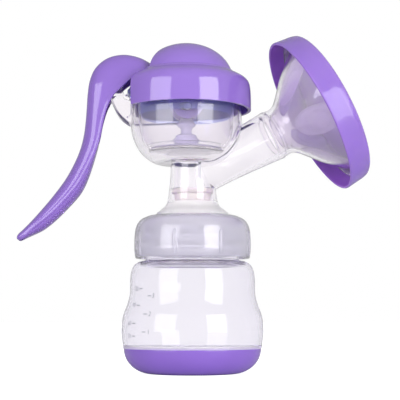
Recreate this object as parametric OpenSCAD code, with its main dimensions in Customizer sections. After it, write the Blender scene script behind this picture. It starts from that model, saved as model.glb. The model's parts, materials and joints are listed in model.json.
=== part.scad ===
// Manual breast pump: bottle in a foot cup, clear pump body with a bowl and a slanted arm,
// silicone diaphragm lifted by a two-shell squeeze handle, funnel with massage cushion and lid.
// Origin on the bottle's axis at the foot, +Z up, handle towards -X, funnel towards +X.

/* [Bottle and collar] */
// Largest radius of the bottle
bottle_r = 38.2; // [37.9:0.1:38.5]
// Radius of the bottle's neck
neck_r = 25.2; // [25.0:0.1:25.4]
// Height of the foot cup
cup_h = 13.3; // [12.8:0.1:13.5]
// Radius of the screw collar's wall
collar_r = 31.5; // [31.2:0.1:31.9]
// Number of grip ribs around the collar
collar_ribs = 8; // [4:1:12]

/* [Pump body] */
// Radius of the bowl
bowl_r = 30.3; // [30.2:0.1:30.6]
// Height of the bowl's rim
bowl_top = 153; // [152.6:0.1:153.2]
// Wall thickness of the clear mouldings
wall = 1.8; // [1.6:0.1:1.9]
// Slope of the funnel's axis above the horizontal
arm_slope = 28; // [27:0.5:29]

/* [Cap and handle] */
// Height of the cap's crown
cap_top = 180; // [179.5:0.1:180.5]
// Half width of the handle at its pivot
handle_half_w = 10.5; // [10.3:0.1:10.8]
// Radius of the pivot pin
pin_r = 2; // [1.9:0.05:2.05]

/* [Funnel] */
// Radius of the lid's open rim
lid_r = 45; // [44.9:0.1:45.4]

/* [Hidden] */

$fn = 96;
big = 200;          // longer than anything it cuts
bowl_x = -3.5;      // the bowl, stem and cap stand this far off the bottle's axis
flange_z = 80.4;    // underside of the pump body's flange
flange_top = 83.1;
collar_foot = 62;
collar_top = 84.6;
shell = 1.7;        // wall of the purple mouldings
run_gap = 0.08;     // running clearance of the shafts
pin_skin = 0.8;     // wall left over the pivot pin's ends, so the pin doesn't show
pivot = [-44, 156];           // handle pivot, [x, z]
stem_eye = [bowl_x, 144.3];   // pin through the stem's eye, [x, z]
slot_travel = 1.85;           // how far the stem pin runs along its slot
joint = [44.9, 130.3];        // mouth of the arm on the funnel's axis, [x, z]
notch_half_w = 17;            // handle notch in the cap
notch_h = 35.6;
cap_foot = 143;
dome_foot = 159.2;

// Catmull-Rom curve through the points p, n steps a span
function spline_at(a, b, c, d, t) =
    (2 * b + (c - a) * t + (2 * a - 5 * b + 4 * c - d) * t * t
    + (3 * b - a - 3 * c + d) * t * t * t) / 2;
function smooth(p, n = 4) = concat(
    [for (i = [0:len(p) - 2], k = [0:n - 1])
        spline_at(p[max(i - 1, 0)], p[i], p[i + 1], p[min(i + 2, len(p) - 1)], k / n)],
    [p[len(p) - 1]]);
function reversed(p) = [for (i = [len(p) - 1:-1:0]) p[i]];
// The path p moved t to its left
function direction(p, i) =
    let (v = p[min(i + 1, len(p) - 1)] - p[max(i - 1, 0)]) v / norm(v);
function inset(p, t) =
    [for (i = [0:len(p) - 1]) let (d = direction(p, i)) p[i] + t * [-d[1], d[0]]];
// A lathe profile: the path p and the same path t to its left, ending on the axis
function skin(p, t) = concat(p, [for (q = reversed(inset(p, t))) [max(q[0], 0), q[1]]]);

module lathe(points) rotate_extrude() polygon(points);
module ring(r_in, r_out, z0, z1) lathe([[r_in, z0], [r_out, z0], [r_out, z1], [r_in, z1]]);
module on_bowl_axis() translate([bowl_x, 0, 0]) children();
module on_funnel_axis()
    translate([joint[0], 0, joint[1]]) rotate([0, 90 - arm_slope, 0]) children();
// An outline in X and Z, made as thick as 2 * half_w across Y
module side_plate(points, half_w)
    translate([0, half_w, 0]) rotate([90, 0, 0]) linear_extrude(2 * half_w) polygon(points);
module cross_pin(at, r, half_w)
    translate([at[0], 0, at[1]]) rotate([90, 0, 0]) cylinder(r = r, h = 2 * half_w, center = true);

// ---- Foot cup -------------------------------------------------------------------------------
foot_r = 22;
function cup_profile(t) = [for (k = [0:12]) let (a = k * 90 / 12)
    [foot_r + (bottle_r - 1.3 - foot_r - t) * sin(a), cup_h - (cup_h - t) * cos(a)]];
module foot_cup() color([0.58, 0.44, 0.81])
    lathe(concat([[0, 0]], cup_profile(0), reversed(cup_profile(shell)), [[0, shell]]));

// ---- Bottle ---------------------------------------------------------------------------------
bottle_outer = smooth([[bottle_r - 1.1, cup_h + 0.1], [bottle_r - 0.25, 19], [bottle_r, 24],
    [37.4, 30.8], [35.1, 37.2], [33.8, 43], [33.6, 51], [32.5, 56.6], [29.6, 59.6],
    [neck_r + 0.6, 60.6], [neck_r, 61.6]]);
bottle_floor = 14.6;
bottle_mouth = 78.6;
thread_proud = 2;
module bottle() color([0.93, 0.94, 0.98, 0.5]) {
    difference() {
        lathe(concat([[0, cup_h - 0.4], [30, cup_h - 0.4], [30, 10], [33.6, 10],
            [33.6, cup_h + 0.1]], bottle_outer,
            [[neck_r, bottle_mouth], [0, bottle_mouth]]));
        lathe(concat([[0, bottle_floor + 1.4], [8, bottle_floor], [33, bottle_floor]],
            [for (p = inset(bottle_outer, wall)) if (p[1] > bottle_floor + 3) p],
            [[neck_r - wall, bottle_mouth + 1], [0, bottle_mouth + 1]]));
    }
    for (z = [66, 72])
        lathe([[neck_r - 0.1, z - 1.2], [neck_r + thread_proud, z - 0.3],
            [neck_r + thread_proud, z + 0.3], [neck_r - 0.1, z + 1.2]]);
}
module bottle_seal() color("white") ring(neck_r - 5, neck_r - 0.1, bottle_mouth, flange_z);

// ---- Screw collar ---------------------------------------------------------------------------
collar_outer = smooth([[collar_r - 0.6, collar_foot], [collar_r, 66], [collar_r, 73], [collar_r - 0.6, 78],
    [collar_r - 2, 81.2], [27.4, 83.2], [24.2, collar_top]], 3);
thread_gap = 0.35;
// A grip rib is a slice of a large disc with a rounded edge, so it fades out at both ends
rib_disc_r = 26;
module grip_rib(a) rotate(a) intersection() {
    translate([collar_r + 1 - rib_disc_r, 0, 69.5]) rotate([90, 0, 0]) rotate_extrude()
        polygon([[22, -1.5], [rib_disc_r - 1.1, -1.3], [rib_disc_r - 0.3, -0.7], [rib_disc_r, 0],
            [rib_disc_r - 0.3, 0.7], [rib_disc_r - 1.1, 1.3], [22, 1.5]]);
    translate([collar_r - 2, -5, 62.5]) cube([10, 10, 14]);
}
module screw_collar() color([0.83, 0.82, 0.88, 0.8]) difference() {
    union() {
        lathe(concat([[0, collar_foot]], collar_outer, [[0, collar_top]]));
        for (i = [0:collar_ribs - 1]) grip_rib((i + 0.5) * 360 / collar_ribs);
    }
    // bore with two inner ridges that sit between the bottle's ridges
    lathe([[0, collar_foot - 1], [collar_r - 2.2, collar_foot - 1], [collar_r - 2.2, 68],
        [neck_r + thread_gap, 68.6], [neck_r + thread_gap, 69.4], [collar_r - 2.2, 70],
        [collar_r - 2.2, 74], [neck_r + thread_gap, 74.6], [neck_r + thread_gap, 75.4],
        [collar_r - 2.2, 76], [collar_r - 2.6, 79.4], [26.2, 81.8], [25.4, 83.2],
        [23.4, 83.2], [23.4, 90], [0, 90]]);
}

// ---- Pump body ------------------------------------------------------------------------------
bowl_outer = smooth([[0, 113.2], [14, 113.3], [20, 115.4], [25, 119.8], [28.6, 126.3],
    [bowl_r - 0.1, 133], [bowl_r, 140], [bowl_r, bowl_top]]);
flare_outer = smooth([[23, flange_top], [19.2, 87], [15.9, 89.2], [14.1, 91.4], [13.4, 94],
    [12.6, 101], [12, 108], [11.9, 116]]);
arm_reach = 50;     // the arm's outside starts this far inside the body
arm_outer = smooth([[12.4, -arm_reach], [12, -36], [12.4, -24], [13.4, -8], [14, 0]]);
arm_bore = 10.6;
socket_r = 12;
socket_depth = 3.5;
valve_seat = 99.4;
valve_r = 11.3;
neck_bore = 10.2;
rib_x = 2;          // the wall that parts the neck into an air side and a milk side
rib_t = 1.6;
bowl_floor = 115;
module bowl_solid() on_bowl_axis() lathe(concat(bowl_outer, [[0, bowl_top]]));
module bowl_space() on_bowl_axis() intersection() {
    lathe(concat([[0, bowl_floor]], [for (p = inset(bowl_outer, wall)) if (p[0] > 13) p],
        [[bowl_r - wall, bowl_top + 1], [0, bowl_top + 1]]));
    translate([0, 0, bowl_floor]) cylinder(r = bowl_r, h = big);
}
module neck_solid() {
    ring(0, 25, flange_z, flange_top);
    lathe(concat([[0, flange_top]], flare_outer, [[0, 116]]));
}
module milk_and_air_space() difference() {
    union() {
        lathe([[0, flange_z - 1], [19, flange_z - 1], [17.4, 86.4], [13.4, 90],
            [valve_r + 0.05, 93], [valve_r + 0.05, valve_seat], [0, valve_seat]]);
        cylinder(r = neck_bore, h = 125);
        on_funnel_axis() translate([0, 0, -46]) cylinder(r = arm_bore, h = 60);
    }
    // rib between the two channels, open at its foot
    translate([rib_x, -big / 2, valve_seat + 0.1]) cube([rib_t, big, 30]);
    // the milk side ends under the bowl, the air side opens into it
    difference() {
        bowl_solid();
        translate([rib_x - big, -big / 2, 0]) cube([big, big, big]);
    }
    // the arm's bore stops at the neck's far wall
    difference() {
        translate([rib_x - big, -big / 2, valve_seat]) cube([big, big, 30]);
        cylinder(r = neck_bore, h = big);
    }
}
ear_inner = 3.8;
ear_outer = 6.6;
ear_r = 5;
ear_line = smooth([[-45.2, 151], [-43.8, 146.5], [-40.4, 140], [-36, 135.9], [-32.5, 134]]);
module ears() difference() {
    union() {
        side_plate(concat([[-47.8, 152.9]], ear_line, [[-32.5, 148], [-38, 149.5], [-39.4, 154]]),
            ear_outer);
        cross_pin(pivot, ear_r, ear_outer);
    }
    cross_pin(pivot, pin_r, big);
    side_plate(concat([[-60, 150.5]], inset(ear_line, 1.6), [[-33.9, 170], [-60, 170]]),
        ear_inner);
}
module pump_body() color([0.9, 0.9, 0.95, 0.4]) difference() {
    union() {
        bowl_solid();
        neck_solid();
        on_funnel_axis() lathe(concat([[0, -arm_reach]], arm_outer, [[0, 0]]));
        ears();
    }
    bowl_space();
    milk_and_air_space();
    on_funnel_axis() translate([0, 0, -socket_depth]) cylinder(r = socket_r, h = 20);
}

// ---- Valve ----------------------------------------------------------------------------------
valve_tip = 84;
module duckbill(t) intersection() {
    cylinder(r = 9.8 - t, h = 97.2);
    rotate([90, 0, 90]) linear_extrude(40, center = true)
        polygon([[1.6 - t, valve_tip - t], [9.8 - t, 95 - t], [9.8 - t, 99], [t - 9.8, 99],
            [t - 9.8, 95 - t], [t - 1.6, valve_tip - t]]);
}
module duckbill_valve() color([0.95, 0.9, 0.9]) difference() {
    union() {
        translate([0, 0, 97]) cylinder(r = valve_r, h = valve_seat - 97);
        duckbill(0);
    }
    duckbill(1.1);
    translate([0, 0, 96]) cylinder(r = 8.7, h = 5);
    translate([-6, -0.15, valve_tip - 1]) cube([12, 0.3, 6]);
}

// ---- Diaphragm and stem ---------------------------------------------------------------------
dia_floor = 119.8;
dia_t = 1.2;
dia_wall = smooth([[19.4, dia_floor], [23.4, 121.6], [25, 126], [25.9, 134], [26.7, 145],
    [27.2, bowl_top]]);
bead_top = 154;
nub_r = 1.8;
module diaphragm() color([0.92, 0.92, 0.95, 0.6]) on_bowl_axis() {
    lathe(concat([[0, dia_floor]], dia_wall, [[bowl_r + 0.2, bowl_top], [bowl_r + 0.2, 149.5],
        [bowl_r + 2, 149.5], [bowl_r + 2, bead_top], [26.4, bead_top]],
        reversed(inset(dia_wall, dia_t)), [[0, dia_floor + dia_t]]));
    translate([0, 0, dia_floor + 0.5]) cylinder(r = nub_r, h = 5);
}
eye_r = 4.1;
eye_half_w = 4;
plate_z = dia_floor + dia_t + 0.3;
module stem() color([0.77, 0.74, 0.85]) difference() {
    union() {
        on_bowl_axis() lathe([[0, plate_z], [18.4, plate_z], [18.4, plate_z + 0.8],
            [12, plate_z + 2.2], [7, plate_z + 3], [7, 127.2], [5.95, 127.6], [5.95, 128.7],
            [2.95, 129.6], [2.95, 133], [3.65, 133.2], [5.15, 134.8], [5.15, 135.3],
            [3.15, 137.4], [3.15, 142], [0, 142]]);
        cross_pin(stem_eye, eye_r, eye_half_w);
    }
    cross_pin(stem_eye, pin_r, big);
    on_bowl_axis() translate([0, 0, plate_z - 1]) cylinder(r = nub_r + 0.3, h = 6);
}
module stem_pin() color("silver") cross_pin(stem_eye, pin_r, 7.6);
module pivot_pin() color("silver") cross_pin(pivot, pin_r, handle_half_w - pin_skin - 0.2);

// ---- Handle ---------------------------------------------------------------------------------
handle_back = smooth([[-94.5, 72.4], [-90.1, 77.7], [-78.8, 90.8], [-69.1, 103.9],
    [-62.4, 117.1], [-58.9, 130.3], [-57.8, 143.5], [-57.1, 155], [-54.7, 163.5],
    [-48.8, 170.3], [-38, 173.2], [-28, 171.2], [-22.4, 168], [-14, 161.5], [-6, 153.4],
    [0.3, 149.4]]);
handle_front = smooth([[-90.6, 70.8], [-86.4, 73.4], [-72.9, 84.3], [-61.5, 97.3], [-55, 110.5],
    [-50.9, 123.7], [-46.8, 137], [-44.4, 145.5], [-40.5, 152], [-34.4, 157.8], [-29, 160],
    [-23, 158.5], [-15, 150.5], [-9.6, 143]]);
lower_front = [for (p = handle_front) if (p[1] < 134 && p[0] < -40 && p[1] > 75) p];
cheek_r = 9;        // round end of the fork
cheek_lift = 2.3;   // its centre above the stem pin
handle_wall = 1.9;  // side walls of the handle
fork_inner = 4.4;   // the fork's cheeks lie between these distances from the middle plane
fork_outer = 7.2;
// Half width across Y, first by height up the grip, then by distance along the arm
function grip_outline(t) = [[5.4 - t, 71], [8 - t, 84], [9.6 - t, 104],
    [handle_half_w - t, 130], [handle_half_w - t, 180]];
function arm_outline(t, fork) = [[-100, handle_half_w - t], [-36, handle_half_w - t],
    [-26, 9 - t], [-14, fork], [10, fork]];
module grip_width(t) rotate([90, 0, 90]) linear_extrude(2 * big, center = true)
    polygon(concat(grip_outline(t), [for (p = reversed(grip_outline(t))) [-p[0], p[1]]]));
module arm_width(t, fork) linear_extrude(big)
    polygon(concat(arm_outline(t, fork), [for (p = reversed(arm_outline(t, fork))) [p[0], -p[1]]]));
module handle_solid() {
    side_plate(concat(handle_back, reversed(handle_front)), big);
    cross_pin(stem_eye + [0, cheek_lift], cheek_r, big);
}
module handle_channel() intersection() {
    side_plate(concat([for (p = inset(handle_back, -shell)) if (p[1] > 78 && p[0] < -16) p],
        [[-13, 158], [8, 158], [8, 130], [-9, 130], [-30, 150], [-40, 140], [-45, 120],
        [-66, 84], [-80, 76.5]]), big);
    grip_width(handle_wall);
    arm_width(handle_wall, fork_inner);
}
module stem_slot() for (x = [0.15, -slot_travel]) cross_pin(stem_eye + [x, 0], pin_r + 0.2, big);
module handle_shell() color([0.6, 0.46, 0.84]) difference() {
    intersection() {
        handle_solid();
        grip_width(0);
        arm_width(0, fork_outer);
    }
    handle_channel();
    stem_slot();
    translate([stem_eye[0] - slot_travel, -big / 2, stem_eye[1] - pin_r - 0.2])
        cube([slot_travel, big, 2 * pin_r + 0.4]);
    cross_pin(pivot, pin_r + run_gap, handle_half_w - pin_skin);
}
module handle_cover() color([0.68, 0.55, 0.88]) intersection() {
    side_plate(concat(inset(lower_front, 0.8), reversed(inset(lower_front, 2.6))), big);
    grip_width(2);
    translate([-big, -big, 79]) cube(2 * big);
}

// ---- Cap ------------------------------------------------------------------------------------
cap_dome = [for (k = [0:8]) let (a = 8 + k * 9.6)
    [25.9 * sin(a), dome_foot + (cap_top - dome_foot) * cos(a)]];
cap_outer = smooth(concat([[35.5, cap_foot], [35.5, 150], [35.1, 155.4], [34.3, 158.2],
    [32.6, 160.2], [29.8, 162], [26.6, 163.6]], [for (k = [7:-1:0]) cap_dome[k]], [[0, cap_top]]), 3);
rib_foot = bead_top + 0.4;
module notch() translate([-60, 0, 0]) rotate([90, 0, 90]) linear_extrude(51)
    polygon(concat([[notch_half_w, cap_foot - 5]],
        [for (k = [0:24]) let (a = k * 7.5)
            [notch_half_w * cos(a), cap_foot + notch_h * sin(a)]],
        [[-notch_half_w, cap_foot - 5]]));
module cap() color([0.63, 0.5, 0.87]) difference() {
    on_bowl_axis() {
        lathe(skin(cap_outer, shell));
        lathe([[30.6, rib_foot], [32, rib_foot], [32, 159.2], [30.6, 160]]);
    }
    notch();
}

// ---- Funnel, cushion and lid ----------------------------------------------------------------
funnel_outer = smooth([[13.4, 0.3], [13.4, 4], [15.2, 8], [20.5, 13.1], [28.2, 20.1],
    [35, 28], [38, 31], [41.2, 32.2]], 3);
module funnel() color([0.85, 0.8, 0.92, 0.5]) on_funnel_axis()
    lathe(concat([[socket_r - run_gap, -socket_depth + 0.5], [socket_r - run_gap, 0.3]],
        funnel_outer, [for (p = reversed(inset(funnel_outer, 1.6))) if (p[1] > 6) p],
        [[arm_bore + 0.6, 5], [arm_bore, 2], [arm_bore, -socket_depth + 0.5]]));
cushion_outer = concat([[arm_bore - 0.1, 2.4], [arm_bore + 0.4, 5.2]],
    [for (p = inset(funnel_outer, 1.8)) if (p[1] > 7 && p[0] < 40.4) p]);
module massage_cushion() color([0.8, 0.75, 0.9, 0.6]) on_funnel_axis()
    lathe(concat([[9.2, 2.4]], cushion_outer, [[41.5, 33.5], [41.5, 31.9], [39.4, 31.2], [39.6, 29.8],
        [42.1, 30.4], [42.1, 32.9], [41.2, 34], [40.2, 34.4]],
        [for (p = reversed(inset(cushion_outer, 1.1))) if (p[1] > 5 && p[0] < 39) p]));
lid_outer = smooth([[lid_r, 23.2], [lid_r - 0.55, 28.2], [lid_r - 1.1, 33], [lid_r - 2.2, 35.5],
    [lid_r - 5, 36.6], [36, 37.1], [22, 38], [0, 38.7]], 3);
module funnel_lid() color([0.66, 0.53, 0.88]) on_funnel_axis() lathe(skin(lid_outer, 1.5));

foot_cup();
bottle();
bottle_seal();
screw_collar();
pump_body();
duckbill_valve();
pivot_pin();
diaphragm();
stem();
stem_pin();
handle_shell();
handle_cover();
cap();
funnel();
massage_cushion();
funnel_lid();
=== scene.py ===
# Manual breast pump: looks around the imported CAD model.
# Profiles are in millimetres, in the frame's own axes; every mesh is made in metres.
import json
import math

import bmesh
import bpy
import numpy as np
from mathutils import Matrix, Vector


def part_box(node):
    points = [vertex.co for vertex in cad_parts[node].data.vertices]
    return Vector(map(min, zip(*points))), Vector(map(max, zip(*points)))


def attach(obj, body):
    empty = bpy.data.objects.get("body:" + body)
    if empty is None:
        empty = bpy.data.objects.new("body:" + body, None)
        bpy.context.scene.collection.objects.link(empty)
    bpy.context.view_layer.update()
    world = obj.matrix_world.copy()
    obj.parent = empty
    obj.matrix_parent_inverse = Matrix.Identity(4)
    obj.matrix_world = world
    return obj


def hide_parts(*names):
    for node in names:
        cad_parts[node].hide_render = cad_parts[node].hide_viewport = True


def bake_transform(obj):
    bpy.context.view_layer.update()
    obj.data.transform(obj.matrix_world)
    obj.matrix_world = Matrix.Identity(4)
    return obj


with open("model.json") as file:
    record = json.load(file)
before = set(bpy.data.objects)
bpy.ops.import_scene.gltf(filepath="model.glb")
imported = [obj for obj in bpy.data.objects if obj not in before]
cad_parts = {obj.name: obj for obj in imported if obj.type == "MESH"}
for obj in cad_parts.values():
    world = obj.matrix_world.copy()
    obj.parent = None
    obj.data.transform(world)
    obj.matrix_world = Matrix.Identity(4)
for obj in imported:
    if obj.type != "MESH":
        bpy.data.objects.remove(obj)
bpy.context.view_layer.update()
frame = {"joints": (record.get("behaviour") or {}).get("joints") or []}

MM = 0.001


# ---------------------------------------------------------------- sizes from the frame
def node_box(name):
    low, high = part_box(name)
    return low / MM, high / MM


def joint_named(name):
    return next(j for j in frame["joints"] if j["name"] == name)


cup_top = node_box("foot_cup")[1].z
bottle_r = node_box("bottle")[1].x
bottle_mouth = node_box("bottle")[1].z
collar_foot, collar_top = node_box("screw_collar")[0].z, node_box("screw_collar")[1].z
cap_low, cap_high = node_box("cap")
cap_foot, cap_top = cap_low.z, cap_high.z
cap_r = cap_high.y
bowl_x = cap_high.x - cap_r                    # axis of the bowl, stem and cap
bowl_r = node_box("pump_body")[1].y
bead_top = node_box("diaphragm")[1].z
dia_floor = node_box("diaphragm")[0].z
stem_eye = (node_box("stem_pin")[0] + node_box("stem_pin")[1]) / 2
pivot = Vector(joint_named("handle_squeeze")["pos_m"]) / MM
funnel_axis = Vector(joint_named("funnel_pull")["axis"]).normalized()
lid_r = (node_box("funnel_lid")[1].y - node_box("funnel_lid")[0].y) / 2
pin_r = (node_box("pivot_pin")[1].z - node_box("pivot_pin")[0].z) / 2
ARM_MOUTH = Vector((44.9, 0, 130.3))           # mouth of the arm, on the funnel's axis
WALL = 1.8                                     # clear mouldings
SKIN = 1.7                                     # purple mouldings

on_bowl = Matrix.Translation(Vector((bowl_x, 0, 0)) * MM)
on_funnel = Matrix.Translation(ARM_MOUTH * MM) @ Matrix.Rotation(math.acos(funnel_axis.z), 4, "Y")


# ---------------------------------------------------------------- curves and meshes
def spline(points, steps=8):
    """A Catmull-Rom curve through the points."""
    p = np.array(points, float)
    out = []
    for i in range(len(p) - 1):
        a, b, c, d = p[max(i - 1, 0)], p[i], p[i + 1], p[min(i + 2, len(p) - 1)]
        for k in range(steps):
            t = k / steps
            out.append((2 * b + (c - a) * t + (2 * a - 5 * b + 4 * c - d) * t ** 2
                        + (3 * b - a - 3 * c + d) * t ** 3) / 2)
    out.append(p[-1])
    return np.array(out)


def inset(path, t):
    """The path moved t to its left."""
    path = np.array(path, float)
    d = np.gradient(path, axis=0)
    d /= np.linalg.norm(d, axis=1)[:, None]
    moved = path + t * np.column_stack([-d[:, 1], d[:, 0]])
    moved[:, 0] = np.maximum(moved[:, 0], 0)
    return moved


def round_end(a, b, steps=6):
    """Points of a half circle from a to b, bulging to the right of the way from a to b."""
    a, b = np.array(a, float), np.array(b, float)
    centre, half = (a + b) / 2, (a - b) / 2
    side = np.array([-half[1], half[0]])
    angles = np.linspace(0, math.pi, steps + 1)[1:-1]
    return [centre + half * math.cos(t) + side * math.sin(t) for t in angles]


def skin(path, t):
    """A closed profile: the path, and the same path t to its left, with rounded ends off the axis."""
    path = np.array(path, float)
    back = inset(path, t)[::-1]
    points = list(path)
    if path[-1][0] > 0.01:
        points += round_end(path[-1], back[0])
    points += list(back)
    if path[0][0] > 0.01:
        points += round_end(back[-1], path[0])
    return points


def dense_rows(profile, step):
    """The closed profile with points added so that none are further apart than the step."""
    out = []
    for a, b in zip(profile, list(profile[1:]) + [profile[0]]):
        a, b = np.array(a, float), np.array(b, float)
        n = max(1, math.ceil(np.linalg.norm(b - a) / step))
        out += [a + (b - a) * k / n for k in range(n)]
    return out


def placed(name, data):
    """An object with this data, put in the scene."""
    obj = bpy.data.objects.new(name, data)
    bpy.context.scene.collection.objects.link(obj)
    return obj


def new_object(name, verts, faces):
    mesh = bpy.data.meshes.new(name)
    mesh.from_pydata([tuple(v) for v in verts], [], faces)
    mesh.validate()
    return placed(name, mesh)


def tidy(obj, angle=38, merge=1e-6):
    """Merges doubles, turns the faces outward and shades smooth across edges below the angle."""
    bm = bmesh.new()
    bm.from_mesh(obj.data)
    bmesh.ops.remove_doubles(bm, verts=bm.verts, dist=merge)
    bmesh.ops.dissolve_degenerate(bm, edges=bm.edges, dist=merge)
    bmesh.ops.recalc_face_normals(bm, faces=bm.faces)
    bm.to_mesh(obj.data)
    bm.free()
    for face in obj.data.polygons:
        face.use_smooth = True
    obj.data.set_sharp_from_angle(angle=math.radians(angle))
    return obj


def lathe(name, profile, place=None, segments=144, warp=None, angle=38):
    """Revolves a closed profile of (r, z) in mm about Z; warp(r, z, angle) may move its points."""
    rows = np.array(profile, float)
    turn = np.linspace(0, 2 * math.pi, segments, endpoint=False)
    verts = []
    for r, z in rows:
        for a in turn:
            rr, zz = (r, z) if warp is None else warp(r, z, a)
            verts.append((rr * math.cos(a) * MM, rr * math.sin(a) * MM, zz * MM))
    faces = []
    for i in range(len(rows)):
        j = (i + 1) % len(rows)
        if rows[i][0] < 1e-6 and rows[j][0] < 1e-6:
            continue
        for k in range(segments):
            m = (k + 1) % segments
            faces.append((i * segments + k, i * segments + m, j * segments + m, j * segments + k))
    obj = new_object(name, verts, faces)
    if place is not None:
        obj.data.transform(place)
    return tidy(obj, angle)


def apply_modifiers(obj):
    bpy.context.view_layer.update()
    shape = bpy.data.meshes.new_from_object(obj.evaluated_get(bpy.context.evaluated_depsgraph_get()))
    obj.modifiers.clear()
    obj.data = shape


def combine(obj, tool, operation):
    modifier = obj.modifiers.new(operation, "BOOLEAN")
    modifier.operation, modifier.solver, modifier.object = operation, "EXACT", tool
    apply_modifiers(obj)
    bpy.data.objects.remove(tool)
    return obj


def bevel(obj, width, segments=2, angle=40):
    modifier = obj.modifiers.new("bevel", "BEVEL")
    modifier.width, modifier.segments = width * MM, segments
    modifier.limit_method, modifier.angle_limit = "ANGLE", math.radians(angle)
    apply_modifiers(obj)
    return tidy(obj)


def plate(name, outline, half_w, round_by=0.0):
    """An outline in X and Z, as thick as 2 * half_w across Y."""
    outline = [Vector((x, 0, z)) for x, z in outline]
    n = len(outline)
    verts = [(p + Vector((0, side * half_w, 0))) * MM for side in (-1, 1) for p in outline]
    faces = [tuple(range(n)), tuple(range(2 * n - 1, n - 1, -1))]
    faces += [(i, i + n, (i + 1) % n + n, (i + 1) % n) for i in range(n)]
    obj = tidy(new_object(name, verts, faces))
    return bevel(obj, round_by) if round_by else obj


def cross_cylinder(name, x, z, r, half_w, segments=64):
    circle = [(x + r * math.cos(a), z + r * math.sin(a))
              for a in np.linspace(0, 2 * math.pi, segments, endpoint=False)]
    return plate(name, circle, half_w)


def join(name, *objects):
    """One object from several."""
    bm = bmesh.new()
    for o in objects:
        bm.from_mesh(o.data)
        bpy.data.objects.remove(o)
    mesh = bpy.data.meshes.new(name)
    bm.to_mesh(mesh)
    bm.free()
    return placed(name, mesh)


def smoothstep(x, low, high):
    t = min(max((x - low) / (high - low), 0.0), 1.0)
    return t * t * (3 - 2 * t)


# ---------------------------------------------------------------- materials
def noise(tree, where, scale, detail):
    node = tree.nodes.new("ShaderNodeTexNoise")
    node.inputs["Scale"].default_value, node.inputs["Detail"].default_value = scale, detail
    tree.links.new(where.outputs["Object"], node.inputs["Vector"])
    return node.outputs["Fac"]


def add_mottling(tree, shader, value, colour, amount):
    """Lets the colour wander a little round its middle."""
    ramp = tree.nodes.new("ShaderNodeValToRGB")
    low, high = ramp.color_ramp.elements
    low.position, high.position = 0.3, 0.7
    low.color = (*[c * (1 - amount) for c in colour], 1)
    high.color = (*[min(c * (1 + amount), 1) for c in colour], 1)
    tree.links.new(value, ramp.inputs["Fac"])
    tree.links.new(ramp.outputs["Color"], shader.inputs["Base Color"])


def add_polish(tree, shader, value, roughness):
    """Lets the roughness wander: some places are better polished than others."""
    polish = tree.nodes.new("ShaderNodeMapRange")
    polish.inputs["To Min"].default_value = roughness * 0.8
    polish.inputs["To Max"].default_value = roughness * 1.25
    tree.links.new(value, polish.inputs["Value"])
    tree.links.new(polish.outputs["Result"], shader.inputs["Roughness"])


def add_grain(tree, shader, value, strength, depth=0.00005):
    bump = tree.nodes.new("ShaderNodeBump")
    bump.inputs["Strength"].default_value, bump.inputs["Distance"].default_value = strength, depth
    tree.links.new(value, bump.inputs["Height"])
    tree.links.new(bump.outputs["Normal"], shader.inputs["Normal"])


def material(name, colour, roughness, transmission=0.0, ior=1.46, grain=0.0, grain_size=400.0,
             mottle=0.04, subsurface=0.0, coat=0.0, absorb=None):
    """A moulded plastic or silicone: fine surface grain, slow colour mottling, uneven polish."""
    mat = bpy.data.materials.new(name)
    mat.use_nodes = True
    tree = mat.node_tree
    nodes, links = tree.nodes, tree.links
    shader = nodes["Principled BSDF"]
    where = nodes.new("ShaderNodeTexCoord")
    slow = noise(tree, where, 28.0, 3.0)
    add_mottling(tree, shader, slow, colour, mottle)
    add_polish(tree, shader, slow, roughness)
    if grain:
        add_grain(tree, shader, noise(tree, where, grain_size, 2.0), grain)

    shader.inputs["IOR"].default_value = ior
    shader.inputs["Transmission Weight"].default_value = transmission
    shader.inputs["Subsurface Weight"].default_value = subsurface
    shader.inputs["Subsurface Radius"].default_value = (0.004, 0.003, 0.006)
    shader.inputs["Subsurface Scale"].default_value = 1.0
    shader.inputs["Coat Weight"].default_value = coat
    shader.inputs["Coat Roughness"].default_value = 0.03
    if absorb:
        volume = nodes.new("ShaderNodeVolumeAbsorption")
        volume.inputs["Color"].default_value = (*absorb[0], 1)
        volume.inputs["Density"].default_value = absorb[1]
        links.new(volume.outputs["Volume"], nodes["Material Output"].inputs["Volume"])
    return mat


PURPLE = (0.272, 0.155, 0.575)
LID_PURPLE = (0.30, 0.175, 0.60)
LILAC_HAZE = (0.70, 0.66, 0.84)
purple_plastic = material("purple_plastic", PURPLE, 0.09, ior=1.6, grain=0.05, grain_size=60,
                          subsurface=0.05)
# Painted shade: the handle is the same purple plastic as the cap, given a darker colour so that its shaded
# side comes out darker.
shaded_handle_plastic = material("shaded_handle_plastic", (0.245, 0.134, 0.53), 0.10, ior=1.6, grain=0.05,
                          grain_size=60, subsurface=0.05)
cup_plastic = material("cup_plastic", (0.255, 0.135, 0.575), 0.10, grain=0.05, grain_size=60)
lid_plastic = material("lid_plastic", LID_PURPLE, 0.10, grain=0.05, grain_size=60, subsurface=0.7)
# Painted light: the lid's inner faces get a brighter, more saturated copy of the lid's purple, as little
# light reaches them.
lid_inside_painted_light = material("lid_inside_painted_light", (0.42, 0.16, 0.84), 0.22, grain=0.05, grain_size=60)
clear_plastic = material("clear_plastic", (0.985, 0.967, 0.985), 0.04, transmission=0.98, ior=1.22,
                         mottle=0.006, grain=0.03, grain_size=120, coat=0.6, absorb=(LILAC_HAZE, 20.0))
ear_plastic = material("ear_plastic", (0.99, 0.975, 0.99), 0.04, transmission=0.98, ior=1.12,
                       mottle=0.006, grain=0.03, grain_size=120)
bottle_plastic = material("bottle_plastic", (0.965, 0.955, 0.975), 0.03, transmission=0.97, ior=1.22,
                          mottle=0.006, grain=0.03, grain_size=120, coat=0.22, absorb=(LILAC_HAZE, 60.0))
frosted_plastic = material("frosted_plastic", (0.775, 0.755, 0.845), 0.12, transmission=0.62, ior=1.3,
                           mottle=0.02, grain=0.1, grain_size=120, coat=0.9)
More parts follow.
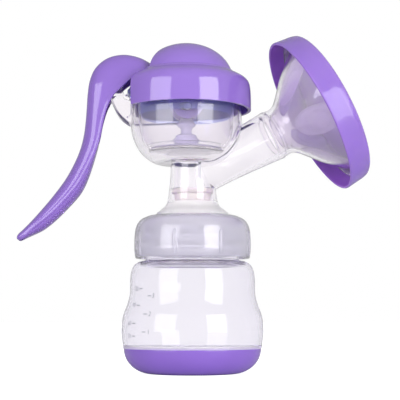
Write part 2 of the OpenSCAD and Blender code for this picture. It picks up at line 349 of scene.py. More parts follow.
clear_silicone = material("clear_silicone", (0.98, 0.965, 0.985), 0.08, transmission=0.96, ior=1.15,
                          mottle=0.008, grain=0.1, grain_size=90)
# Painted shade and reflection: the blue stands in for the purple cap's shade and reflection, seen through
# the diaphragm's clear silicone.
painted_cap_shade_silicone = material("painted_cap_shade_silicone", (0.55, 0.58, 1.0), 0.12, transmission=0.84, ior=1.15,
                         mottle=0.01, grain=0.1, grain_size=90)
milky_silicone = material("milky_silicone", (0.96, 0.92, 1.0), 0.06, transmission=0.82, ior=1.22,
                          mottle=0.01, grain=0.1, grain_size=90)
petal_silicone = material("petal_silicone", (0.77, 0.63, 1.0), 0.14, transmission=0.30, ior=1.22,
                          mottle=0.01, grain=0.1, grain_size=90)
hazy_plastic = material("hazy_plastic", (1.0, 0.985, 1.0), 0.38, transmission=0.6, ior=1.25,
                        mottle=0.01, grain=0.1, grain_size=120)
white_silicone = material("white_silicone", (0.66, 0.60, 0.61), 0.4, grain=0.3, grain_size=500,
                          subsurface=0.3)
stem_plastic = material("stem_plastic", (0.55, 0.51, 0.70), 0.22, grain=0.2)
steel = material("pin_steel", (0.72, 0.72, 0.75), 0.18, grain=0.2, grain_size=700)
steel.node_tree.nodes["Principled BSDF"].inputs["Metallic"].default_value = 1.0
ink = material("scale_ink", (0.27, 0.27, 0.33), 0.5, grain=0.1)


def dress(obj, mat, slot, body=None, *nodes, second=None):
    """Gives a piece its material, its body and the CAD nodes that it stands for; the record slot argument
    is not used.
    The faces marked by two_tone get the second material."""
    marks = [face.material_index for face in obj.data.polygons]
    obj.data.materials.clear()
    obj.data.materials.append(mat)
    if any(marks):
        obj.data.materials.append(second or hazy_plastic)
        obj.data.polygons.foreach_set("material_index", marks)
    if body:
        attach(obj, body)
    if nodes:
        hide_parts(*nodes)
    return obj


def two_tone(obj, hazy_or_painted):
    """Marks faces for slot 1 of a piece's materials: where the mould left a clear piece hazy, the cushion's
    tinted petals, and the diaphragm's band of painted shade and reflection.
    """
    for face in obj.data.polygons:
        if hazy_or_painted(face.center / MM):
            face.material_index = 1
    return obj


# ---------------------------------------------------------------- foot cup, bottle, collar
def foot_cup():
    foot_r, rim_r = 22.0, bottle_r - 1.3
    curve = [(foot_r + (rim_r - foot_r) * math.sin(a), cup_top * (1 - math.cos(a)))
             for a in np.linspace(0, math.pi / 2, 28)]
    underside = [(0, 0.9), (18.5, 0.9), (19.4, 0.7), (20.2, 0.15), (21.0, 0.0)]
    inner = inset(curve, SKIN)[::-1]
    rim = round_end(curve[-1], inner[0])
    profile = underside + list(curve) + rim + list(inner) + [(0, 2.4)]
    return lathe("foot_cup_shell", profile)


def bottle_side():
    return spline([(bottle_r - 1.1, cup_top + 0.1), (bottle_r - 0.25, 19), (bottle_r, 24),
                   (37.4, 30.8), (35.1, 37.2), (33.8, 43), (33.6, 51), (32.5, 56.6), (29.6, 59.6),
                   (25.8, 60.6), (25.2, 61.6)])


def bottle():
    side = bottle_side()
    neck_r, floor, heel = 25.2, cup_top + 0.9, 1.6
    spigot = [(0, cup_top - 0.2), (29, cup_top - 0.4), (31, 10.4), (31.6, 10), (33.2, 10),
              (33.6, 10.4), (33.6, cup_top - 0.2), (34.4, cup_top + 0.05)]
    threads = []
    for z in (66, 72):
        threads += [(neck_r, z - 1.5), (neck_r + 0.6, z - 1.1), (neck_r + 2.0, z - 0.4),
                    (neck_r + 2.0, z + 0.4), (neck_r + 0.6, z + 1.1), (neck_r, z + 1.5)]
    mouth = round_end((neck_r, bottle_mouth - 0.9), (neck_r - WALL, bottle_mouth - 0.9))
    inner_side = [p for p in inset(side, WALL)[::-1] if p[1] > floor + heel]
    low_r = inner_side[-1][0]
    corner = [(low_r - heel + heel * math.cos(a), floor + heel - heel * math.sin(a))
              for a in np.linspace(0.1, math.pi / 2, 8)]
    dimple = [(9, floor), (6, floor + 0.5), (3.4, floor + 1.4), (0, floor + 1.7)]
    profile = spigot + list(side) + threads + [(neck_r, bottle_mouth - 0.9)] + mouth
    profile += [(neck_r - WALL, bottle_mouth - 0.9)] + inner_side + corner + dimple
    shell = lathe("bottle_shell", profile, segments=180)
    return two_tone(shell, lambda p: p.z < floor + 0.6)


def scale_marks():
    """Printed graduations: ticks and numbers wrapped round the bottle's left side."""
    side = bottle_side()
    parts = []

    def wrap(mesh_obj, turn, z0):
        for v in mesh_obj.data.vertices:
            z = z0 + v.co.y
            r = np.interp(z, side[:, 1], side[:, 0]) + 0.04 + v.co.z
            a = turn + v.co.x / r
            v.co = Vector((r * math.cos(a), r * math.sin(a), z)) * MM
        parts.append(mesh_obj)

    def bar(width, height, turn, z0):
        n = 8
        xs = np.linspace(0, width, n)
        verts = [(x, y, 0) for y in (-height / 2, height / 2) for x in xs]
        faces = [(i, i + 1, i + 1 + n, i + n) for i in range(n - 1)]
        wrap(new_object("bar", verts, faces), turn, z0)

    def number(text, size, turn, z0):
        curve = bpy.data.curves.new("digits", "FONT")
        curve.body, curve.size, curve.align_x, curve.align_y = text, size, "RIGHT", "CENTER"
        holder = placed("digits", curve)
        bpy.context.view_layer.update()
        mesh = bpy.data.meshes.new_from_object(holder)
        bpy.data.objects.remove(holder)
        wrap(placed("digits", mesh), turn, z0)

    ml_turn, oz_turn = math.radians(-151), math.radians(-138.5)
    for ml, z0 in ((30, 20.4), (60, 27.0), (90, 36.4), (120, 45.0)):
        bar(3.0, 0.42, ml_turn, z0)
        number(str(ml), 3.4, ml_turn - 0.03, z0)
    for oz, z0 in ((1, 22.6), (2, 31.8), (3, 41.2)):
        bar(2.6, 0.42, oz_turn, z0)
        number(str(oz), 3.4, oz_turn + 0.14, z0)
    return join("bottle_scale", *parts)


def collar():
    wall_r, ribs = 31.5, 8
    side = spline([(wall_r - 0.6, collar_foot), (wall_r, 66), (wall_r, 73), (wall_r - 0.6, 78),
                   (wall_r - 2, 81.2), (27.4, 83.2), (24.2, collar_top)], 9)
    bore = [(23.4, collar_top - 0.3), (23.4, 83.4), (25.4, 83.2), (26.2, 81.8), (28.4, 79.4)]
    for z in (75, 69):
        bore += [(29.0, z + 1.4), (25.7, z + 0.5), (25.7, z - 0.5), (29.0, z - 1.4)]
    bore += [(29.0, collar_foot + 0.8), (29.3, collar_foot + 0.1)]

    shell = lathe("collar_shell", list(side) + bore, angle=50)
    lenses = [lens((wall_r, 0, 69.5), (1.0, 1.45, 6.7), (i + 0.5) * 2 * math.pi / ribs)
              for i in range(ribs)]
    return tidy(combine(shell, join("ribs", *lenses), "UNION"), 50, 2e-6)


def seal():
    """The soft ring between the bottle's mouth and the body, with rounded edges."""
    low, high = node_box("bottle_seal")
    outer, inner, soft = high[0], high[0] - 4.9, 0.35
    corners = ((outer - soft, low[2] + soft), (outer - soft, high[2] - soft),
               (inner + soft, high[2] - soft), (inner + soft, low[2] + soft))
    profile = []
    for quarter, (r, z) in enumerate(corners):
        for step in range(5):
            a = math.radians(90 * (quarter - 1) + 22.5 * step)
            profile.append((r + soft * math.cos(a), z + soft * math.sin(a)))
    return lathe("seal_ring", profile)


def lens(centre, half, turn):
    """An ellipsoid, turned about the bottle's axis."""
    bm = bmesh.new()
    bmesh.ops.create_uvsphere(bm, u_segments=24, v_segments=16, radius=1)
    mesh = bpy.data.meshes.new("lens")
    bm.to_mesh(mesh)
    bm.free()
    place = Matrix.Rotation(turn, 4, "Z") @ Matrix.Translation(Vector(centre) * MM)
    mesh.transform(place @ Matrix.Diagonal((*[h * MM for h in half], 1)))
    return placed("lens", mesh)


# ---------------------------------------------------------------- pump body
BOWL_FLOOR = 115.0


def bowl_side():
    return spline([(0, 113.2), (14, 113.3), (20, 115.4), (25, 119.8), (28.6, 126.3),
                   (bowl_r - 0.1, 133), (bowl_r, 140), (bowl_r, 153)])


def solid(name, path, place=None, segments=144):
    """A solid of revolution from a path whose ends are closed onto the axis."""
    path = list(path)
    if path[0][0] > 1e-6:
        path = [(0, path[0][1])] + path
    if path[-1][0] > 1e-6:
        path = path + [(0, path[-1][1])]
    return lathe(name, path, place, segments)


def slab(name, low, high):
    low, high = Vector(low), Vector(high)
    obj = plate(name, [(low.x, low.z), (high.x, low.z), (high.x, high.z), (low.x, high.z)],
                (high.y - low.y) / 2)
    obj.data.transform(Matrix.Translation((0, (high.y + low.y) / 2 * MM, 0)))
    return obj


def pump_body():
    flange_z, seat, valve_r, bore = 80.4, 99.4, 11.35, 10.2
    body = solid("pump_body_shell", bowl_side(), on_bowl)
    flare = spline([(21.6, 83.1), (19.2, 86.6), (15.9, 89.2), (14.1, 91.4), (13.4, 94), (12.6, 101),
                    (12, 108), (11.9, 116)])
    neck = solid("neck", [(0, flange_z), (24.6, flange_z), (25, flange_z + 0.4), (25, 82.7),
                          (24.6, 83.1)] + list(flare))
    arm = solid("arm", spline([(12.4, -50), (12, -36), (12.4, -24), (13.4, -8), (14, -1), (13.7, 0)]),
                on_funnel)
    combine(body, neck, "UNION")
    combine(body, arm, "UNION")

    space = solid("space", [p for p in inset(bowl_side(), WALL) if p[0] > 14 or p[1] > BOWL_FLOOR]
                  + [(bowl_r - WALL, 160)], on_bowl)
    combine(body, space, "DIFFERENCE")

    # milk and air spaces below the bowl, on either side of the dividing rib
    inside = solid("inside", [(0, flange_z - 1), (19, flange_z - 1), (17.4, 86.4), (14.4, 89.4),
                              (11.9, 92), (valve_r, 94), (valve_r, seat), (bore + 0.3, seat + 0.05),
                              (bore, seat + 0.4), (bore, 114)])
    arm_bore = solid("arm_bore", [(10.6, -46), (10.6, -3.6), (11.9, -3.5), (12, -3.3), (12, 4)], on_funnel)
    combine(inside, arm_bore, "UNION")
    keep = solid("keep", bowl_side(), on_bowl)
    rib = slab("rib", (2.0, -40, seat + 0.1), (3.6, 40, 130))
    left = slab("left", (-60, -40, seat + 0.1), (2.5, 40, 130))
    air = solid("air", [(bore, seat - 1), (bore, 117)])
    combine(inside, keep, "DIFFERENCE")
    combine(inside, rib, "DIFFERENCE")
    combine(left, air, "INTERSECT")
    right_part = slab("right_part", (2.0, -40, seat), (60, 40, 130))
    combine(left, right_part, "DIFFERENCE")
    combine(body, inside, "DIFFERENCE")
    combine(body, left, "DIFFERENCE")
    tidy(body, 30, 2e-6)
    return two_tone(body, lambda p: p.z < 92.5 and math.hypot(p.x, p.y) < 26)


def ears():
    """Two ears and the curved web under them, which carry the handle's pivot."""
    line = spline([(-45.2, 151), (-43.8, 146.5), (-40.4, 140), (-36, 135.9), (-33.0, 134.4)])
    inner_half, outer_half = 3.8, 6.6
    circle = [(pivot.x + 5 * math.cos(a), pivot.z + 5 * math.sin(a))
              for a in np.radians(np.linspace(-22, 216, 30))]
    outline = circle + [tuple(p) for p in line] + [(-33.3, 136), (-33.75, 148), (-37.6, 149.6)]
    parts = []
    for side in (-1, 1):
        ear = plate(f"ear{side}", outline, (outer_half - inner_half) / 2, 0.35)
        ear.data.transform(Matrix.Translation((0, side * (outer_half + inner_half) / 2 * MM, 0)))
        parts.append(ear)
    web = list(line) + list(inset(line, 1.6)[::-1])
    parts.append(plate("web", web, inner_half + 0.1, 0.3))
    return join("pump_body_ears", *parts)


# ---------------------------------------------------------------- valve, diaphragm, stem
def valve():
    """A duckbill: a round rim whose cone flattens to a slit."""
    rim_r, top, tip = 11.3, 99.4, 84.0
    round_z, flattened = 95, 0.86              # round above this height; how much the tip is pressed
    rows = [(rim_r, top), (rim_r, 97.3), (11.0, 97.0), (9.9, 96.8), (9.8, 95)]
    rows += [(9.8, z) for z in (93, 91, 89, 87, 85.2, tip)]
    inner = [(8.7, z) for z in (tip, 85.2, 87, 89, 91, 93, 95)] + [(8.7, 97), (8.7, top)]

    def pinch(r, z, a):
        squeeze = 1 - flattened * smoothstep(round_z - z, 0, round_z - tip)
        x, y = r * math.cos(a), r * math.sin(a) * squeeze
        return x, y, z

    segments = 96
    profile = rows + inner
    verts = [tuple(c * MM for c in pinch(r, z, a)) for r, z in profile
             for a in np.linspace(0, 2 * math.pi, segments, endpoint=False)]
    n = len(profile)
    faces = [(i * segments + k, i * segments + (k + 1) % segments,
              ((i + 1) % n) * segments + (k + 1) % segments, ((i + 1) % n) * segments + k)
             for i in range(n) for k in range(segments)]
    return tidy(new_object("duckbill_valve_rubber", verts, faces), 60)


def diaphragm():
    wall = spline([(0, dia_floor), (12, dia_floor), (18.6, dia_floor), (20.2, dia_floor + 0.5),
                   (20.6, dia_floor + 2.2), (22.4, dia_floor + 3.4), (24.6, 127), (25.7, 134),
                   (26.5, 145), (27.0, 151.5)])
    bead = [(27.6, 152.9), (bowl_r + 0.2, 153.05), (bowl_r + 0.3, 150.2), (bowl_r + 1.1, 149.6),
            (bowl_r + 1.9, 150.2), (bowl_r + 2, 153.4), (bowl_r + 1.2, bead_top - 0.1),
            (27.2, bead_top), (26.4, bead_top - 0.4), (26.0, 153.4)]
    profile = list(wall) + bead + list(inset(wall, 1.2)[::-1])
    # Above z 140 the bell gets slot 1: a blue band of painted shade and reflection from the cap.
    return two_tone(lathe("diaphragm_bell", profile, on_bowl), lambda p: p.z > 140)


def stem():
    z0 = dia_floor + 1.5
    turned = [(0, z0), (18.0, z0), (18.4, z0 + 0.3), (18.3, z0 + 0.8), (12.4, z0 + 2.0),
              (8.2, z0 + 2.9), (7.0, z0 + 3.6), (6.9, 127.0), (6.6, 127.35), (6.1, 127.3),
              (5.9, 126.9), (5.85, 127.4), (5.85, 128.6), (5.2, 129.2), (3.4, 129.7),
              (2.95, 130.4), (2.95, 132.6), (3.4, 133.2), (4.9, 134.4), (5.15, 134.9),
              (4.9, 135.6), (3.7, 136.8), (3.15, 138.2), (3.15, 142), (0, 142)]
    post = lathe("stem_post", turned, on_bowl, 96)
    eye = bevel(cross_cylinder("eye", stem_eye.x, stem_eye.z, 4.1, 4.0), 0.5, 3)
    combine(post, eye, "UNION")
    return tidy(post, 40)


def stem_pin():
    return bevel(cross_cylinder("stem_pin_rod", stem_eye.x, stem_eye.z, pin_r, 7.6), 0.4, 3)


def pivot_pin():
    pin = cross_cylinder("pivot_pin_rod", pivot.x, pivot.z, pin_r, node_box("pivot_pin")[1].y)
    return bevel(pin, 0.4, 3)


# ---------------------------------------------------------------- handle
# Stations from the tip to the arch: back of the shell, its rim, half width; all in X and Z.
STATIONS = [
    ((-94.0, 71.6), (-93.2, 71.0), 2.0), ((-94.5, 72.8), (-92.4, 71.0), 3.8),
    ((-93.6, 74.6), (-90.8, 71.8), 5.2), ((-91.3, 76.8), (-88.4, 73.8), 6.2),
    ((-87.6, 80.6), (-84.4, 77.6), 7.0), ((-82.0, 87.0), (-77.8, 82.8), 7.8),
    ((-75.8, 94.6), (-70.6, 89.9), 8.7), ((-69.3, 103.6), (-62.9, 98.9), 9.5),
    ((-64.6, 112.2), (-57.2, 108.8), 10.0), ((-61.2, 120.6), (-53.0, 118.2), 10.3),
    ((-59.3, 128.6), (-50.4, 126.9), 10.5), ((-58.4, 136.5), (-48.7, 135.8), 10.5),
    ((-57.9, 144.0), (-46.5, 143.4), 10.5), ((-57.5, 151.0), (-43.9, 148.6), 10.5),
    ((-56.4, 158.6), (-42.0, 150.9), 10.5), ((-53.3, 165.6), (-39.6, 153.3), 10.5),
    ((-47.0, 171.0), (-37.0, 155.8), 10.5), ((-38.6, 173.1), (-34.0, 158.2), 10.4),
    ((-30.0, 171.8), (-30.6, 159.7), 9.9), ((-22.8, 168.2), (-26.6, 160.2), 9.2),
    ((-17.0, 164.0), (-22.6, 158.4), 8.4), ((-12.6, 160.0), (-18.8, 154.6), 7.6)]


def loft(name, sections):
    """Skins closed sections that all have the same number of points, and closes both ends."""
    n = len(sections[0])
    verts = [Vector(p) * MM for s in sections for p in s]
    faces = [(i * n + k, i * n + (k + 1) % n, (i + 1) * n + (k + 1) % n, (i + 1) * n + k)
             for i in range(len(sections) - 1) for k in range(n)]
    obj = new_object(name, verts, faces)
    bm = bmesh.new()
    bm.from_mesh(obj.data)
    bmesh.ops.holes_fill(bm, edges=[e for e in bm.edges if e.is_boundary], sides=0)
    bmesh.ops.triangulate(bm, faces=[f for f in bm.faces if len(f.verts) > 4])
    bm.to_mesh(obj.data)
    bm.free()
    return obj


def section_frame(back, rim):
    """The rim point, the unit vector towards the back, and the depth of a handle station."""
    back, rim = Vector((back[0], 0, back[1])), Vector((rim[0], 0, rim[1]))
    d = back - rim
    return rim, d.normalized(), d.length


def crown(half_w, depth, power, steps):
    """Half of a superellipse, from (-half_w, 0) over (0, depth) to (half_w, 0)."""
    out = []
    for t in np.linspace(0, math.pi, steps):
        c, s = math.cos(t), math.sin(t)
        out.append((-half_w * math.copysign(abs(c) ** (2 / power), c), depth * s ** (2 / power)))
    return out


def dense_stations(steps=7):
    table = np.array([[*b, *r, w] for b, r, w in STATIONS])
    return spline(table, steps)


def handle_shell():
    sections = []
    for bx, bz, rx, rz, w in dense_stations():
        rim, up, depth = section_frame((bx, bz), (rx, rz))
        thin = min(1.7, w * 0.45, depth * 0.4)
        bead = 0.45 * smoothstep(w, 4, 9)
        power = 2.0 + 0.4 * smoothstep(rz, 120, 145)
        outer = crown(w - bead, depth - 1.6, power, 41)
        outer = [(v, u + 1.6) for v, u in outer]
        outer = [(-w + 0.3, 0), (-w, 0.3), (-w, 1.0)] + outer + [(w, 1.0), (w, 0.3), (w - 0.3, 0)]
        inner = crown(w - bead - thin, depth - 1.6 - thin, power, 41)
        inner = [(v, u + 1.6) for v, u in inner]
        inner = [(-w + bead + thin, 0.0)] + inner + [(w - bead - thin, 0.0)]
        ring = outer + inner[::-1]
        sections.append([rim + up * u + Vector((0, v, 0)) for v, u in ring])
    return tidy(loft("handle_shell_skin", sections), 45)


def handle_cover():
    """The belly that closes the grip: flush with the rim at the seam, pointed at both ends."""
    sections = []
    for bx, bz, rx, rz, w in dense_stations():
        if not (71.6 < rz < 131 and rx < -49):
            continue
        rim, up, _ = section_frame((bx, bz), (rx, rz))
        belly = 3.1 * smoothstep(rz, 71.0, 79.5) * (1 - smoothstep(rz, 96, 123)) + 0.35
        sunk = 2.4 * smoothstep(rz, 122, 131)
        half = (w - 0.35) - 1.9 * smoothstep(rz, 118, 124)
        half *= 0.35 + 0.65 * smoothstep(rz, 70.2, 75)
        front = crown(half, belly, 2.2, 31)
        back = [(v * 0.97, 1.2 if abs(v) < half * 0.8 else 0.8) for v, _ in front]
        ring = [(v, -u + sunk) for v, u in front] + [(v, u + sunk) for v, u in back[::-1]]
        sections.append([rim + up * u + Vector((0, v, 0)) for v, u in ring])
    return tidy(loft("handle_cover_belly", sections), 50)


def handle_fork():
    """Two cheeks that run from the arm to the slots round the stem pin."""
    r, lift = 9.0, 2.3
    end = [(stem_eye.x + r * math.cos(a), stem_eye.z + lift + r * math.sin(a))
           for a in np.radians(np.linspace(-155, 82, 40))]
    top = spline([(-5.4, 156.4), (-9.0, 158.0), (-14, 161.2), (-20.5, 165.4)], 4)
    low = spline([(-27, 160.6), (-22.0, 157.8), (-15.8, 150.4), (-12.2, 145.4)], 4)
    outline = end + [tuple(p) for p in top] + [tuple(p) for p in low]
    inner, outer, travel, gap = 4.4, 7.2, 1.85, 0.2
    slot = [(stem_eye.x + 0.15 + (pin_r + gap) * math.cos(a), stem_eye.z + (pin_r + gap) * math.sin(a))
            for a in np.radians(np.linspace(-90, 90, 24))]
    slot += [(stem_eye.x - travel + (pin_r + gap) * math.cos(a), stem_eye.z + (pin_r + gap) * math.sin(a))
             for a in np.radians(np.linspace(90, 270, 24))]
    cheeks = []
    for side in (-1, 1):
        cheek = plate(f"cheek{side}", outline, (outer - inner) / 2)
        combine(cheek, plate("slot", slot, 10), "DIFFERENCE")
        bevel(cheek, 0.4, 2, 50)
        cheek.data.transform(Matrix.Translation((0, side * (inner + outer) / 2 * MM, 0)))
        cheeks.append(cheek)
    return join("handle_fork_cheeks", *cheeks)


# ---------------------------------------------------------------- cap
def cap():
    """A lathe shell whose rows stop at the handle's notch, so that the notch has clean edges."""
    dome_r, dome_foot = 25.9, 159.2
    dome = [(dome_r * math.sin(math.radians(a)),
             dome_foot + (cap_top - dome_foot) * math.cos(math.radians(a)))
            for a in np.linspace(75, 3, 34)]
    skirt = spline([(cap_r, cap_foot), (cap_r, 150), (cap_r - 0.4, 155.4), (cap_r - 1.2, 158.2),
                    (cap_r - 2.9, 160.2), (29.8, 161.9), (27.2, 163.1), (26.0, 164.2)], 8)
    path = np.array(list(skirt) + dome + [(0, cap_top)])
    outer, inner = path, inset(path, SKIN)
    half_w, arch_h, segments = 17.0, 35.6, 200

    def row(r, z, z_ref, r_ref):
        rise = (z_ref - cap_foot) / arch_h
        half = half_w * math.sqrt(max(1 - rise * rise, 0.0)) if rise < 1 else 0.0
        cut = math.asin(min(half / r_ref, 1.0)) if r_ref > half else (math.pi / 2 if half else 0)
        turn = math.pi + cut + (2 * math.pi - 2 * cut) * np.linspace(0, 1, segments + 1)
        return [(bowl_x + r * math.cos(a), r * math.sin(a), z) for a in turn]

    verts, faces, n, m = [], [], len(path), segments + 1
    for ro, zo in outer:
        verts += row(ro, zo, zo, ro)
    for (ro, zo), (ri, zi) in zip(outer, inner):
        verts += row(ri, zi, zo, ro)
    for i in range(n - 1):
        for k in range(segments):
            a, b = i * m + k, (i + 1) * m + k
            faces.append((a, a + 1, b + 1, b))
            faces.append((n * m + a + 1, n * m + a, n * m + b, n * m + b + 1))
        for k in (0, segments):
            a, b = i * m + k, (i + 1) * m + k
            if (Vector(verts[i * m]) - Vector(verts[i * m + segments])).length > 1e-4:
                faces.append((a, b, n * m + b, n * m + a))
    for k in range(segments):
        faces.append((k, k + 1, n * m + k + 1, n * m + k))
    obj = tidy(new_object("cap_shell", [Vector(v) * MM for v in verts], faces), 40)
    return bevel(obj, 0.45, 3, 50)


# ---------------------------------------------------------------- funnel, cushion, lid
def funnel_side():
    return spline([(13.7, 0.3), (13.5, 2), (13.5, 4.5), (15.2, 8), (20.5, 13.1), (28.2, 20.1),
                   (35, 28), (38, 31), (41.2, 32.2)])


def funnel():
    side = funnel_side()
    spigot_r, bore = 11.92, 10.6
    inner = [p for p in inset(side, 1.6)[::-1] if p[1] > 6.5]
    profile = [(bore, -2.8), (bore + 0.2, -3.0), (spigot_r - 0.3, -3.0), (spigot_r, -2.7),
               (spigot_r, 0.1), (13.4, 0.15)] + list(side)
    profile += round_end(side[-1], inner[0]) + inner + [(11.3, 5.2), (10.7, 2.4), (bore, 0)]
    return lathe("funnel_bell", profile, on_funnel, 160)


def cushion():
    side = inset(funnel_side(), 1.8)
    outer = [(10.5, 2.4), (11.0, 5.2)] + [tuple(p) for p in side if p[1] > 7 and p[0] < 40.4]
    fold = [(41.5, 33.4), (41.6, 32.2), (40.2, 31.5), (39.5, 31.0), (39.6, 30.1), (40.4, 29.9),
            (41.8, 30.3), (42.1, 31.2), (42.1, 32.9), (41.7, 33.6), (40.8, 34.2), (39.4, 34.5)]
    inner = [tuple(p) for p in inset(outer, 1.15)[::-1] if p[1] > 5 and p[0] < 38.6]
    petals, first = 5, math.radians(-78)
    ovals = [(24.5, 11.0, 8.2, 1.0), (23.5, 5.6, 5.0, 0.7)]     # centre r, half length, half width, lift

    def on_petal(r, z, a, oval):
        """How far a point lies from an oval's middle, in the oval's own size; far off elsewhere."""
        if r > np.interp(z, [p[1] for p in outer], [p[0] for p in outer]) - 0.6:
            return 9.0
        if not (12.0 < r < 37.5 and 8 < z < 33):
            return 9.0
        at, half_l, half_w, _ = oval
        step = 2 * math.pi / petals
        turn = ((a - first) / step - round((a - first) / step)) * step
        return math.hypot((r - at) / half_l, turn * r / half_w)

    def petalled(r, z, a):
        """Raises petals on the inner face, each a large oval with a small one on it."""
        lift = sum(oval[3] * (1 - smoothstep(on_petal(r, z, a, oval), 0.88, 1.0)) for oval in ovals)
        return r - lift * 0.62, z + lift * 0.78

    profile = outer + fold + inner + [(9.3, 5.0), (9.2, 2.6), (9.8, 2.2)]
    skin_of_funnel = lathe("massage_cushion_petals", dense_rows(profile, 0.7), on_funnel, 288, petalled, 50)
    to_funnel = on_funnel.inverted()

    def tinted(p):
        q = to_funnel @ (p * MM) / MM
        return on_petal(math.hypot(q.x, q.y), q.z - 0.8, math.atan2(q.y, q.x), ovals[0]) < 1.0

    return two_tone(skin_of_funnel, tinted)


def lid():
    side = spline([(lid_r, 23.2), (lid_r - 0.55, 28.2), (lid_r - 1.1, 33), (lid_r - 2.2, 35.5),
                   (lid_r - 5, 36.6), (36, 37.1), (22, 38), (8, 38.6), (0, 38.7)])
    shell = lathe("funnel_lid_shell", skin(side, 1.5), on_funnel, 180)
    middle = on_funnel @ Vector((0, 0, 0.02))
    # Faces turned inward get slot 1, the painted-light copy of the lid's purple.
    for face in shell.data.polygons:
        if face.normal.dot(face.center - middle) < 0:
            face.material_index = 1
    return shell


# ---------------------------------------------------------------- build the object
dress(foot_cup(), cup_plastic, "purple_plastic", "pump", "foot_cup")
dress(bottle(), bottle_plastic, "clear_plastic", "pump", "bottle")
dress(scale_marks(), ink, "clear_plastic", "pump")
dress(seal(), white_silicone, "white_silicone", "pump", "bottle_seal")
dress(collar(), frosted_plastic, "frosted_plastic", "collar", "screw_collar")
dress(pump_body(), clear_plastic, "clear_plastic", "pump", "pump_body")
dress(ears(), ear_plastic, "clear_plastic", "pump")
dress(valve(), white_silicone, "white_silicone", "pump", "duckbill_valve")
dress(stem(), stem_plastic, "stem_plastic", "stem", "stem")
dress(stem_pin(), stem_plastic, "stem_plastic", "stem", "stem_pin")
dress(pivot_pin(), steel, "pin_steel", "pump", "pivot_pin")
dress(handle_shell(), shaded_handle_plastic, "purple_plastic", "handle", "handle_shell")
dress(handle_fork(), shaded_handle_plastic, "purple_plastic", "handle")
dress(handle_cover(), shaded_handle_plastic, "purple_plastic", "handle", "handle_cover")
dress(cap(), purple_plastic, "purple_plastic", "cap", "cap")
dress(funnel(), clear_plastic, "clear_plastic", "funnel", "funnel")
dress(cushion(), milky_silicone, "clear_silicone", "funnel", "massage_cushion", second=petal_silicone)
dress(lid(), lid_plastic, "lid_plastic", "lid", "funnel_lid", second=lid_inside_painted_light)

bell = dress(diaphragm(), clear_silicone, "clear_silicone", None, "diaphragm", second=painted_cap_shade_silicone)
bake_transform(bell)


# ---------------------------------------------------------------- floor, light, camera
def floor():
    """A white floor. Through clear plastic it looks the same from every side, however the softboxes
    light it, so the walls of the clear pieces show from behind as they do from the front."""
    mesh = bpy.data.meshes.new("floor")
    size = 6.0
    mesh.from_pydata([(-size, -size, 0), (size, -size, 0), (size, size, 0), (-size, size, 0)], [],
                     [(0, 1, 2, 3)])
    obj = placed("floor", mesh)
    white = material("floor_white", (0.93, 0.93, 0.935), 0.6, mottle=0.004)
    nodes, links = white.node_tree.nodes, white.node_tree.links
    lit = nodes["Principled BSDF"]
    lit.inputs["Emission Color"].default_value = (1, 1, 1, 1)
    path = nodes.new("ShaderNodeLightPath")
    links.new(path.outputs["Is Camera Ray"], lit.inputs["Emission Strength"])
    through = nodes.new("ShaderNodeEmission")
    through.inputs["Strength"].default_value = 1.0
    seen = nodes.new("ShaderNodeMixShader")
    links.new(path.outputs["Is Transmission Ray"], seen.inputs["Fac"])
    links.new(lit.outputs["BSDF"], seen.inputs[1])
    links.new(through.outputs["Emission"], seen.inputs[2])
    links.new(seen.outputs["Shader"], nodes["Material Output"].inputs["Surface"])
    white.cycles.emission_sampling = "NONE"
    mesh.materials.append(white)


def softbox(name, azimuth, width, power):
    """An upright area light at an azimuth from the front (0 is -Y, positive towards +X)."""
    height, distance, elevation, target = 0.62, 0.9, 8, Vector((0, 0, 0.12))
    light = bpy.data.lights.new(name, "AREA")
    light.shape, light.size, light.size_y, light.energy = "RECTANGLE", width, height, power
    obj = placed(name, light)
    a, e = math.radians(azimuth), math.radians(elevation)
    obj.location = target + distance * Vector((math.sin(a) * math.cos(e), -math.cos(a) * math.cos(e),
                                                math.sin(e)))
    obj.rotation_euler = (target - obj.location).to_track_quat("-Z", "Y").to_euler()


def math_node(tree, operation, *values, clamp=False):
    """A math node; each value is a number or another node's output."""
    node = tree.nodes.new("ShaderNodeMath")
    node.operation, node.use_clamp = operation, clamp
    for socket, value in zip(node.inputs, values):
        if isinstance(value, float):
            socket.default_value = value
        else:
            tree.links.new(value, socket)
    return node.outputs["Value"]


def mixed(tree, factor, first, second):
    mix = tree.nodes.new("ShaderNodeMix")
    for socket, value in (("Factor", factor), ("A", first), ("B", second)):
        tree.links.new(value, mix.inputs[socket])
    return mix.outputs["Result"]


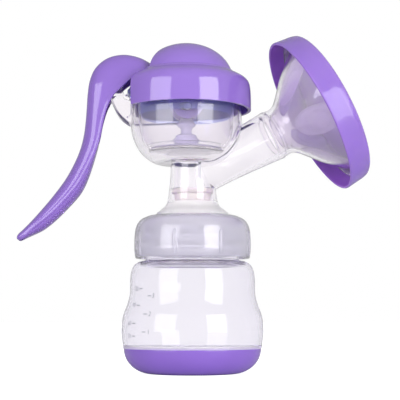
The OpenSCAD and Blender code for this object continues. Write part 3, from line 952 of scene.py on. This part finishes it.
def from_behind_to_front(tree, front, strengths):
    """A strength that changes with the direction: the first from behind, the second in front."""
    where = tree.nodes.new("ShaderNodeTexCoord")
    facing = tree.nodes.new("ShaderNodeVectorMath")
    facing.operation = "DOT_PRODUCT"
    facing.inputs[1].default_value = Vector(front).normalized()
    tree.links.new(where.outputs["Generated"], facing.inputs[0])
    ramp = tree.nodes.new("ShaderNodeMapRange")
    ramp.inputs["From Min"].default_value, ramp.inputs["From Max"].default_value = -0.5, 0.9
    ramp.inputs["To Min"].default_value, ramp.inputs["To Max"].default_value = strengths
    tree.links.new(facing.outputs["Value"], ramp.inputs["Value"])
    return ramp.outputs["Result"]


def studio_world(front, gloss, diffuse, inside_boost):
    """White to the camera and through clear plastic. Gloss and shade see a room with a backdrop and
    a brighter front: each is a pair of strengths, from behind and from the front. What stands inside
    the clear shells gets some more, as the softboxes don't reach it."""
    world = bpy.data.worlds.new("studio")
    bpy.context.scene.world = world
    world.use_nodes = True
    world.cycles.sampling_method = "NONE"
    tree = world.node_tree
    ray = tree.nodes.new("ShaderNodeLightPath").outputs
    mirrored = math_node(tree, "SUBTRACT", ray["Is Glossy Ray"], ray["Is Transmission Ray"], clamp=True)
    inside = math_node(tree, "MINIMUM", ray["Diffuse Depth"], 1.0)
    clear = math_node(tree, "MULTIPLY_ADD", inside, inside_boost, 1.0)
    strength = mixed(tree, mirrored, clear, from_behind_to_front(tree, front, gloss))
    strength = mixed(tree, ray["Is Diffuse Ray"], strength, from_behind_to_front(tree, front, diffuse))
    background = tree.nodes["Background"]
    tree.links.new(strength, background.inputs["Strength"])
    background.inputs["Color"].default_value = (1, 1, 1, 1)


def camera():
    data = bpy.data.cameras.new("camera")
    data.lens, data.sensor_width = 104.85, 36
    obj = placed("camera", data)
    obj.location = (-0.0595, -0.6292, 0.030)
    yaw, pitch = math.radians(5.77), math.radians(5.76)
    obj.rotation_euler = (math.pi / 2 + pitch, 0, -yaw)
    bpy.context.scene.camera = obj


camera()
floor()
softbox("left_box", -51, width=0.60, power=4.3)
softbox("right_box", 35, width=0.54, power=5.6)
studio_world((0.35, -0.85, 0.4), gloss=(0.40, 0.90), diffuse=(0.18, 0.50), inside_boost=1.4)
view = bpy.context.scene
view.view_settings.view_transform = "Standard"
view.cycles.max_bounces, view.cycles.transmission_bounces, view.cycles.glossy_bounces = 40, 32, 24
